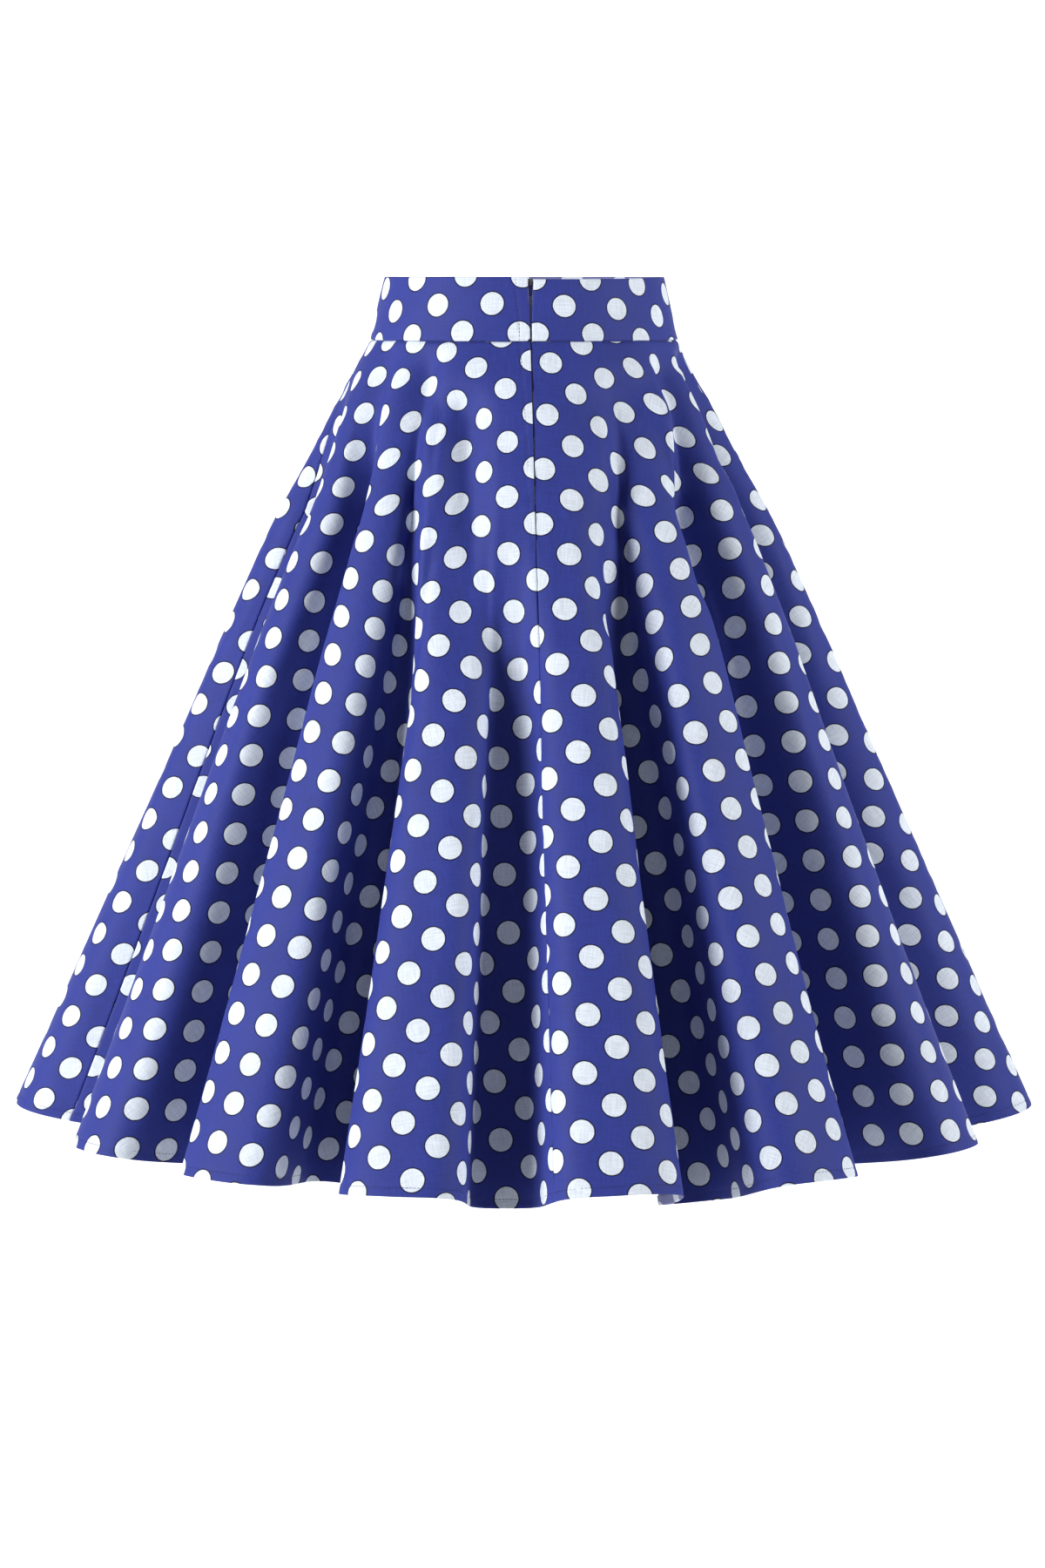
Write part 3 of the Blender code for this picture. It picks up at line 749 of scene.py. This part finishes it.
def cotton_poplin(name, print_sizes, ground, outline, dot):
    """Screen-printed cotton poplin: a plain weave with a soft broad sheen, and opaque dots with a
    thin dark outline. The real threads are about 0.25 mm apart, too fine to show, so the slubs are
    drawn a few threads wide."""
    made, tree = new_material(name)
    uv = add_node(tree, "ShaderNodeUVMap", uv_map="cut")

    # How far it is to the nearest dot's middle: a repeat has one at its corners and one half way
    repeat = print_sizes.dot_repeat
    per_metre = (1 / repeat, 1 / repeat, 0.0)
    cell = add_node(tree, "ShaderNodeVectorMath", {0: uv, 1: per_metre}, operation="MULTIPLY")
    ways = []
    for shift in (0.0, 0.5):
        place = cell
        for operation, offset in (("ADD", shift), ("FRACTION", 0.0), ("SUBTRACT", 0.5)):
            inputs = {0: place, 1: (offset, offset, 0.0)}
            place = add_node(tree, "ShaderNodeVectorMath", inputs, operation=operation)
        place = add_node(tree, "ShaderNodeVectorMath", {0: place}, operation="LENGTH")
        ways.append(place.outputs["Value"])
    distance = add_node(tree, "ShaderNodeMath", {0: ways[0], 1: ways[1]}, operation="MINIMUM")

    # The ink runs a little along the threads, so a dot's edge isn't quite even
    run = add_node(tree, "ShaderNodeTexNoise", {"Vector": uv, "Scale": 320.0, "Detail": 2.0})
    inputs = {0: run, 1: INK_RUN, 2: -0.5 * INK_RUN}
    run = add_node(tree, "ShaderNodeMath", inputs, operation="MULTIPLY_ADD")
    inputs = {0: distance, 1: repeat, 2: run}
    distance = add_node(tree, "ShaderNodeMath", inputs, operation="MULTIPLY_ADD")
    ink = (*ground, 1.0)
    dot_edge = print_sizes.dot_diameter / 2
    for edge, colour in ((dot_edge + print_sizes.dot_outline, outline), (dot_edge, dot)):
        inputs = {
            "Value": distance,
            "From Min": edge - INK_EDGE,
            "From Max": edge + INK_EDGE,
            "To Min": 1.0,
            "To Max": 0.0,
        }
        share = add_node(tree, "ShaderNodeMapRange", inputs, interpolation_type="SMOOTHSTEP")
        inputs = {0: share, 6: ink, 7: (*colour, 1.0)}
        ink = add_node(tree, "ShaderNodeMix", inputs, data_type="RGBA").outputs[2]

    # Thicker and thinner threads, and the dye's uneven take-up
    slubs = []
    for way in ((70.0, 1100.0, 1.0), (1100.0, 70.0, 1.0)):
        place = add_node(tree, "ShaderNodeVectorMath", {0: uv, 1: way}, operation="MULTIPLY")
        inputs = {"Vector": place, "Scale": 1.0, "Detail": 2.0}
        slubs.append(add_node(tree, "ShaderNodeTexNoise", inputs))
    slub = add_node(tree, "ShaderNodeMath", {0: slubs[0], 1: slubs[1]}, operation="ADD")
    dye = add_node(tree, "ShaderNodeTexNoise", {"Vector": uv, "Scale": 22.0, "Detail": 3.0})
    dye = add_node(tree, "ShaderNodeMath", {0: dye, 1: 0.5, 2: slub}, operation="MULTIPLY_ADD")
    inputs = {"Value": dye, "From Min": 0.9, "From Max": 1.6, "To Min": 0.86, "To Max": 1.12}
    tone = add_node(tree, "ShaderNodeMapRange", inputs, interpolation_type="SMOOTHSTEP")
    inputs = {"Value": slub, "From Min": 0.7, "From Max": 1.3, "To Min": 0.62, "To Max": 0.74}
    roughness = add_node(tree, "ShaderNodeMapRange", inputs, interpolation_type="SMOOTHSTEP")
    inputs = {"Strength": 0.35, "Distance": 0.12 * MM, "Height": slub}
    settings = {
        "Base Color": add_node(
            tree, "ShaderNodeVectorMath", {0: ink, "Scale": tone}, operation="SCALE"
        ),
        "Roughness": roughness,
        "IOR": 1.5,
        "Specular IOR Level": 0.22,
        "Sheen Weight": 0.02,
        "Sheen Roughness": 0.45,
        "Normal": add_node(tree, "ShaderNodeBump", inputs),
    }
    return finish_material(made, tree, settings)


def ribbed_yarn(name, code, painted_rib_shade, depth, roughness, grain, inputs, **grain_settings):
    """Spun or woven yarn: its ribs stand up a little, with painted shade between them and a painted
    highlight on their tops.
    """
    made, tree = new_material(name)
    place = add_node(tree, "ShaderNodeTexCoord").outputs["Object"]
    ribs = add_node(tree, grain, {"Vector": place, **inputs}, **grain_settings).outputs["Fac"]
    low, high, groove_shade = painted_rib_shade
    # Painted shade and highlight: the colour is darker where the ribs dip and lighter on their tops
    inputs = {"Value": ribs, "From Min": low, "From Max": high, "To Min": groove_shade, "To Max": 1.15}
    tone = add_node(tree, "ShaderNodeMapRange", inputs, interpolation_type="SMOOTHSTEP")
    inputs = {0: linear(code), "Scale": tone}
    settings = {
        "Base Color": add_node(tree, "ShaderNodeVectorMath", inputs, operation="SCALE"),
        "Roughness": roughness,
        "IOR": 1.5,
        "Normal": add_node(
            tree, "ShaderNodeBump", {"Strength": 0.5, "Distance": depth, "Height": ribs}
        ),
    }
    return finish_material(made, tree, settings)


def spun_thread(name, code):
    """Polyester sewing thread: a fine twist, shown as flecks of painted shade and painted
    highlight, that catches a little light.
    """
    twist = {"Scale": 3000.0, "Detail": 1.0}
    painted_rib_shade = (0.3, 0.7, 0.8)
    return ribbed_yarn(name, code, painted_rib_shade, 0.05 * MM, 0.55, "ShaderNodeTexNoise", twist)


def woven_tape(name, code):
    """Woven polyester zip tape: matt, with fine ribs across it and painted shade between them."""
    bands = {"wave_type": "BANDS", "bands_direction": "Z", "wave_profile": "TRI"}
    ribs = {"Scale": 420.0, "Distortion": 0.6}
    painted_rib_shade = (0.0, 1.0, 0.75)
    return ribbed_yarn(name, code, painted_rib_shade, 0.1 * MM, 0.8, "ShaderNodeTexWave", ribs, **bands)


def hard_finish(name, code, grain, roughness, relief, settings):
    """A hard surface, evenly coloured, whose gloss and relief vary with one fine grain."""
    made, tree = new_material(name)
    place = add_node(tree, "ShaderNodeTexCoord").outputs["Object"]
    inputs = {"Vector": place, "Scale": grain, "Detail": 3.0}
    uneven = add_node(tree, "ShaderNodeTexNoise", inputs)
    low, high = roughness
    inputs = {"Value": uneven, "From Min": 0.3, "From Max": 0.7, "To Min": low, "To Max": high}
    gloss = add_node(tree, "ShaderNodeMapRange", inputs, interpolation_type="SMOOTHSTEP")
    inputs = {"Strength": 0.2, "Distance": relief, "Height": uneven}
    settings = {
        "Base Color": (*linear(code), 1.0),
        "Roughness": gloss,
        "Normal": add_node(tree, "ShaderNodeBump", inputs),
        **settings,
    }
    return finish_material(made, tree, settings)


def moulded_nylon(name, code):
    """Moulded nylon coil: satin, slightly uneven where it was set with heat."""
    return hard_finish(name, code, 700.0, (0.34, 0.50), 0.01 * MM, {"IOR": 1.53})


def cast_zinc(name, code):
    """Cast zinc alloy, tumbled: pale grey, satin, with faint pits."""
    return hard_finish(name, code, 1800.0, (0.26, 0.44), 0.03 * MM, {"Metallic": 1.0})


def enamelled_zinc(name, code):
    """Zinc alloy in stoved enamel: an even coat, glossier than the cloth, faintly orange-peeled."""
    return hard_finish(name, code, 900.0, (0.24, 0.34), 0.02 * MM, {"IOR": 1.5})


def painted_floor(name, code):
    """Matt studio paint, plain and pale, with a roller's faint stipple."""
    return hard_finish(name, code, 40.0, (0.78, 0.84), 0.05 * MM, {"IOR": 1.45})


# Repeated pieces ----------------------------------


def path_object(name, lines):
    """A mesh of loose lines through points."""
    mesh = bpy.data.meshes.new(name)
    edges, first = [], 0
    for line in lines:
        edges += [(first + k, first + k + 1) for k in range(len(line) - 1)]
        first += len(line)
    mesh.from_pydata(np.concatenate(lines).tolist(), edges, [])
    return link_object(name, mesh)


def along_path_tree(name):
    """Rounded grains set along each line: a stitch, or half a turn of a zip's coil."""
    tree = bpy.data.node_groups.new(name, "GeometryNodeTree")
    face = tree.interface
    face.new_socket("Geometry", in_out="INPUT", socket_type="NodeSocketGeometry")
    for label in ("Spacing", "Width", "Height", "Length"):
        face.new_socket(label, in_out="INPUT", socket_type="NodeSocketFloat")
    face.new_socket("Finish", in_out="INPUT", socket_type="NodeSocketMaterial")
    face.new_socket("Geometry", in_out="OUTPUT", socket_type="NodeSocketGeometry")
    given = tree.nodes.new("NodeGroupInput").outputs
    curve = add_node(tree, "GeometryNodeMeshToCurve", {"Mesh": given["Geometry"]})
    inputs = {"Curve": curve, "Length": given["Spacing"]}
    points = add_node(tree, "GeometryNodeCurveToPoints", inputs, mode="LENGTH")
    inputs = {"X": given["Width"], "Y": given["Height"], "Z": given["Length"]}
    size = add_node(tree, "ShaderNodeCombineXYZ", inputs)
    inputs = {
        "Points": points,
        "Instance": add_node(tree, "GeometryNodeMeshIcoSphere", {"Radius": 0.5, "Subdivisions": 1}),
        "Rotation": points.outputs["Rotation"],
        "Scale": size,
    }
    placed = add_node(tree, "GeometryNodeInstanceOnPoints", inputs)
    real = add_node(tree, "GeometryNodeRealizeInstances", {"Geometry": placed})
    rounded = add_node(tree, "GeometryNodeSetShadeSmooth", {"Geometry": real})
    inputs = {"Geometry": rounded, "Material": given["Finish"]}
    finished = add_node(tree, "GeometryNodeSetMaterial", inputs)
    add_node(tree, "NodeGroupOutput", {0: finished})
    return tree


def lay_grains(name, lines, body, slot, finish, **sizes):
    """Grains along lines, as a plain mesh that rides on a body."""
    guide = path_object(name + "_guide", lines)
    tree = bpy.data.node_groups.get("grains_along_path") or along_path_tree("grains_along_path")
    layer = guide.modifiers.new("grains", "NODES")
    layer.node_group = tree
    sizes["Finish"] = finish
    for item in tree.interface.items_tree:
        if item.item_type == "SOCKET" and item.in_out == "INPUT" and item.name in sizes:
            layer[item.identifier] = sizes[item.name]
    graph = bpy.context.evaluated_depsgraph_get()
    mesh = bpy.data.meshes.new_from_object(guide.evaluated_get(graph))
    bpy.data.objects.remove(guide, do_unlink=True)
    mesh.name = name
    made = link_object(name, mesh)
    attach(made, body)
    return made


def cloth_line(drops, shares, lift):
    """Points on the cloth and just off it, at those drops and shares."""
    spread = np.array((-2.0, -1.0, 0.0, 1.0, 2.0)) / SHEET_COLUMNS
    grid = CLOTH.grid(drops, shares[:, None] + spread)
    return grid[:, 2] + outward(grid)[:, 2] * lift


def band_line(depths, shares, lift):
    """Points on the waistband and just off it, at those depths and shares."""
    plan, half_width, half_depth = band_plan(seam_turns(shares)[0], depths / BAND_HEIGHT)
    out = plan / np.stack([half_width, half_depth], axis=-1) ** 2
    out /= np.linalg.norm(out, axis=1, keepdims=True)
    return np.column_stack([plan + out * lift, -depths])


def hem_lines():
    """The hem's stitching, one line a panel, a little short of each seam."""
    lines = []
    drops = CLOTH_DROP - HEM_STITCH_HEIGHT + np.array((-4.0, 0.0, 4.0)) * MM
    for panel in PANELS:
        count = round(1100 * (panel.end - panel.start))
        shares = np.linspace(panel.start + 0.0006, panel.end - 0.0006, count)
        grid = CLOTH.grid(drops, np.tile(shares, (3, 1)))
        lines.append(grid[1] + outward(grid)[1] * CLOTH_THICKNESS / 2)
    return lines


def lap_lines():
    """The lap's stitching: down the waistband, down the back and in to the seam."""
    depths = np.linspace(0.002, BAND_HEIGHT - 0.0015, 20)
    girths = ellipse_girth(BAND_TOP_HALF_WIDTH, BAND_TOP_HALF_DEPTH)
    girths = girths * (1 + 0.1 * depths / BAND_HEIGHT)
    across = lookup(SLOT, "depth", "left", depths) + lap_line(depths)
    on_band = band_line(depths, 1 - across / girths, BAND_THICKNESS / 2)
    drops = np.linspace(0.001, 0.180, 90)
    drops = drops[CLOTH.depths(drops) < LAP_STITCH_END - 0.2 * MM]
    below = CLOTH.depths(drops)
    across = lap_line(below) + lookup(SLOT, "depth", "left", below)
    lift = CLOTH_THICKNESS / 2 + 0.2 * MM
    return [on_band, cloth_line(drops, 1 - across / CLOTH.girths(drops), lift)]


# Settings ----------------------------------


class CottonPrint(bpy.types.PropertyGroup):
    """The printed cloth."""

    dot_diameter: bpy.props.FloatProperty(
        name="Dot diameter", description="Width of a printed dot, without its outline",
        default=18.0 * MM, unit="LENGTH"
    )
    dot_outline: bpy.props.FloatProperty(
        name="Dot outline", description="Width of the dark line round a dot", default=1.0 * MM,
        unit="LENGTH"
    )
    dot_repeat: bpy.props.FloatProperty(
        name="Dot repeat",
        description="Distance between dots in a row; the next row is set half way",
        default=45.0 * MM, unit="LENGTH"
    )
    ground: bpy.props.FloatVectorProperty(
        name="Ground", description="Colour between the dots", default=linear("#2e3887"),
        subtype="COLOR"
    )
    outline: bpy.props.FloatVectorProperty(
        name="Outline", description="Colour of the line round a dot", default=linear("#0d0f30"),
        subtype="COLOR"
    )
    dot: bpy.props.FloatVectorProperty(
        name="Dots", description="Colour of the dots", default=linear("#d6dee9"), subtype="COLOR"
    )
    show_through: bpy.props.FloatProperty(
        name="Show-through", description="How much paler the wrong side is", default=0.24,
        subtype="FACTOR", min=0, max=1
    )


class Sewing(bpy.types.PropertyGroup):
    """The stitching."""

    stitch_length: bpy.props.FloatProperty(
        name="Stitch length", description="What shows of one stitch", default=2.3 * MM,
        unit="LENGTH"
    )
    stitch_spacing: bpy.props.FloatProperty(
        name="Stitch spacing", description="From one stitch to the next", default=2.9 * MM,
        unit="LENGTH"
    )
    thread_width: bpy.props.FloatProperty(
        name="Thread width", description="Width of the sewing thread", default=0.42 * MM,
        unit="LENGTH"
    )


class ZipSizes(bpy.types.PropertyGroup):
    """The zip."""

    coil_spacing: bpy.props.FloatProperty(
        name="Coil spacing", description="From one turn of the coil to the next", default=1.1 * MM,
        unit="LENGTH"
    )
    coil_width: bpy.props.FloatProperty(
        name="Coil width", description="Across one side's coil", default=1.9 * MM, unit="LENGTH"
    )


class Studio(bpy.types.PropertyGroup):
    """The studio."""

    floor_level: bpy.props.FloatProperty(
        name="Floor level", description="Height of the floor, under the waist", default=-1.45,
        unit="LENGTH"
    )
    key_power: bpy.props.FloatProperty(
        name="Key light", description="Power of the large light on the left", default=232.0,
        subtype="POWER"
    )
    fill_power: bpy.props.FloatProperty(
        name="Fill light", description="Power of the light on the right", default=150.0,
        subtype="POWER"
    )
    backdrop_power: bpy.props.FloatProperty(
        name="Backdrop lights", description="Power of each light on the floor behind",
        default=290.0, subtype="POWER"
    )
    camera_distance: bpy.props.FloatProperty(
        name="Camera distance", description="From the waist's middle to the camera", default=3.6,
        unit="LENGTH"
    )
    camera_turn: bpy.props.FloatProperty(
        name="Camera turn", description="Angle of the camera from straight behind",
        default=radians(-3.0), subtype="ANGLE"
    )
    camera_tilt: bpy.props.FloatProperty(
        name="Camera tilt", description="How far the camera looks down", default=radians(6.46),
        subtype="ANGLE"
    )


# Operators ----------------------------------


def cotton_materials(context):
    """The right side's finish and the wrong side's, where the print only shows through."""
    sizes = context.scene.cotton_print
    colours = [tuple(colour) for colour in (sizes.ground, sizes.outline, sizes.dot)]
    bare = linear(BARE_COTTON)
    paler = []
    for colour in colours:
        paler.append(tuple(c + (b - c) * sizes.show_through for c, b in zip(colour, bare)))
    paler[1] = paler[0]  # the thin outline doesn't show through
    made = []
    for side, inks in (("right_side", colours), ("wrong_side", paler)):
        name = "printed_cotton_poplin_" + side
        made.append(bpy.data.materials.get(name) or cotton_poplin(name, sizes, *inks))
    return made


class SKIRT_OT_panels(bpy.types.Operator):
    """Make the front and the two back panels of the skirt"""

    bl_idname = "skirt.panels"
    bl_label = "Skirt panels"

    def execute(self, context):
        for panel in PANELS:
            add_skirt_panel(panel, cotton_materials(context))
        return {"FINISHED"}


class SKIRT_OT_waistband(bpy.types.Operator):
    """Make the three pieces of the waistband"""

    bl_idname = "skirt.waistband"
    bl_label = "Waistband"

    def execute(self, context):
        for panel in PANELS:
            add_band_piece(panel, cotton_materials(context))
        return {"FINISHED"}


class SKIRT_OT_stitching(bpy.types.Operator):
    """Sew the hem and the zip's lap"""

    bl_idname = "skirt.stitching"
    bl_label = "Stitching"

    def execute(self, context):
        sewing = context.scene.sewing
        sizes = {
            "Spacing": sewing.stitch_spacing,
            "Width": sewing.thread_width,
            "Height": sewing.thread_width,
            "Length": sewing.stitch_length,
        }
        thread = spun_thread("spun_polyester_thread_navy", "#2b2e6c")
        lay_grains("hem_stitching", hem_lines(), "skirt", "navy_tape", thread, **sizes)
        lay_grains("lap_stitching", lap_lines(), "skirt", "navy_tape", thread, **sizes)
        return {"FINISHED"}


class SKIRT_OT_zip(bpy.types.Operator):
    """Make the zip's coils and finish its tapes, slider and pull tab"""

    bl_idname = "skirt.zip"
    bl_label = "Zip"

    def execute(self, context):
        sizes = context.scene.zip_sizes
        nylon = moulded_nylon("moulded_nylon_navy", "#20224c")
        tape = woven_tape("woven_polyester_tape_navy", "#22244f")
        metal = cast_zinc("cast_zinc_pale_grey", "#b9b5b0")
        enamel = enamelled_zinc("enamelled_zinc_navy", "#1b1d45")
        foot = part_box("zip_coil")[0][2]
        drops = np.linspace(0.0, COIL_REACH, 60)
        depths = np.linspace(COIL_TOP, BAND_HEIGHT - 0.5 * MM, 12)
        top = band_line(depths, np.zeros(len(depths)), -COIL_SET_BACK)
        centre = np.concatenate([top, cloth_line(drops, np.zeros(len(drops)), -COIL_SET_BACK)])
        centre = centre[centre[:, 2] > foot]
        # The two sides' turns lie between each other
        offset = np.array([sizes.coil_width * COIL_MESH, 0.0, sizes.coil_spacing / 4])
        made = lay_grains(
            "zip_coils",
            [centre - offset, centre + offset],
            "skirt",
            "navy_nylon",
            nylon,
            Spacing=sizes.coil_spacing,
            Width=sizes.coil_width,
            Height=COIL_HEIGHT,
            Length=COIL_WIRE,
        )
        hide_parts("zip_coil")
        for name, finish in (
            ("zip_tape_left", tape),
            ("zip_tape_right", tape),
            ("zip_slider", metal),
            ("zip_pull", enamel),
        ):
            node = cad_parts[name]
            for slot in node.material_slots:
                slot.material = finish
        return {"FINISHED"}


class SKIRT_OT_studio(bpy.types.Operator):
    """Make the floor, the lights and the camera"""

    bl_idname = "skirt.studio"
    bl_label = "Studio"

    def execute(self, context):
        studio = context.scene.studio
        scene = context.scene
        # A level floor that sweeps up into a wall all round
        profile = [(0.0, 0.0), (FLOOR_REACH, 0.0)]
        for angle in np.radians(np.arange(7.5, 91, 7.5)):
            up = FLOOR_SWEEP - FLOOR_SWEEP * cos(angle)
            profile.append((FLOOR_REACH + FLOOR_SWEEP * sin(angle), up))
        mesh = bpy.data.meshes.new("studio_floor")
        form = bmesh.new()
        line = [form.verts.new((x, 0, z + studio.floor_level)) for x, z in profile]
        edges = [form.edges.new(pair) for pair in zip(line, line[1:])]
        bmesh.ops.spin(
            form,
            geom=line + edges,
            cent=(0, 0, 0),
            axis=(0, 0, 1),
            angle=2 * pi,
            steps=FLOOR_SIDES,
            use_merge=True,
        )
        bmesh.ops.remove_doubles(form, verts=form.verts, dist=1e-5)
        bmesh.ops.recalc_face_normals(form, faces=form.faces)
        form.to_mesh(mesh)
        form.free()
        mesh.shade_smooth()
        mesh.materials.append(painted_floor("matt_studio_paint_white", "#f6f6f6"))
        link_object("studio_floor", mesh)

        # Each light's place, what it points at, its width and its power
        for name, place, aim, size, power in (
            ("key", (-3.73, -1.82, 0.81), (0, 0, -0.4), 2.0, studio.key_power),
            ("fill", (3.70, -1.50, 1.30), (0, 0, -0.4), 1.8, studio.fill_power),
            ("backdrop_left", (-2.4, 2.6, 3.0), (-0.8, 7.6, -0.6), 1.6, studio.backdrop_power),
            ("backdrop_right", (2.4, 2.6, 3.0), (0.8, 7.6, -0.6), 1.6, studio.backdrop_power),
        ):
            light = bpy.data.lights.new(name, "AREA")
            light.shape = "DISK"
            light.size = size
            light.energy = power
            lamp = link_object(name, light)
            lamp.location = place
            lamp.rotation_euler = (Vector(aim) - Vector(place)).to_track_quat("-Z", "Y").to_euler()

        world = bpy.data.worlds.new("studio_air")
        world.use_nodes = True
        air = world.node_tree.nodes["Background"].inputs
        air["Color"].default_value = (0.95, 0.97, 1.0, 1.0)
        air["Strength"].default_value = 0.02
        scene.world = world

        lens = bpy.data.cameras.new("camera")
        lens.sensor_fit = "VERTICAL"
        lens.sensor_height = 24.0
        lens.lens = 68.57
        lens.shift_x = -2 / PICTURE_HEIGHT
        camera = link_object("camera", lens)
        turn, away = studio.camera_turn, studio.camera_distance
        camera.location = (away * sin(turn), -away * cos(turn), 0.0)
        camera.rotation_euler = (pi / 2 - studio.camera_tilt, 0.0, turn)
        scene.camera = camera
        scene.view_settings.view_transform = "Standard"
        scene.view_settings.look = "None"
        return {"FINISHED"}


class SKIRT_PT_tools(bpy.types.Panel):
    """Lists the skirt's pieces and their sizes"""

    bl_idname = "SKIRT_PT_tools"
    bl_label = "Circle skirt"
    bl_space_type = "VIEW_3D"
    bl_region_type = "UI"
    bl_category = "Skirt"

    def draw(self, context):
        for name, group in SETTINGS.items():
            box = self.layout.box()
            for setting in group.__annotations__:
                box.prop(getattr(context.scene, name), setting)
        for operator in OPERATORS:
            self.layout.operator(operator.bl_idname)


SETTINGS = {"cotton_print": CottonPrint, "sewing": Sewing, "zip_sizes": ZipSizes, "studio": Studio}
OPERATORS = (SKIRT_OT_panels, SKIRT_OT_waistband, SKIRT_OT_stitching, SKIRT_OT_zip, SKIRT_OT_studio)


def register():
    for kind in (*SETTINGS.values(), *OPERATORS, SKIRT_PT_tools):
        bpy.utils.register_class(kind)
    for name, kind in SETTINGS.items():
        setattr(bpy.types.Scene, name, bpy.props.PointerProperty(type=kind))


def unregister():
    for name in SETTINGS:
        delattr(bpy.types.Scene, name)
    for kind in (*SETTINGS.values(), *OPERATORS, SKIRT_PT_tools):
        bpy.utils.unregister_class(kind)


def main():
    register()
    bpy.ops.skirt.studio()
    bpy.ops.skirt.waistband()
    bpy.ops.skirt.panels()
    bpy.ops.skirt.stitching()
    bpy.ops.skirt.zip()


if __name__ == "__main__":
    main()
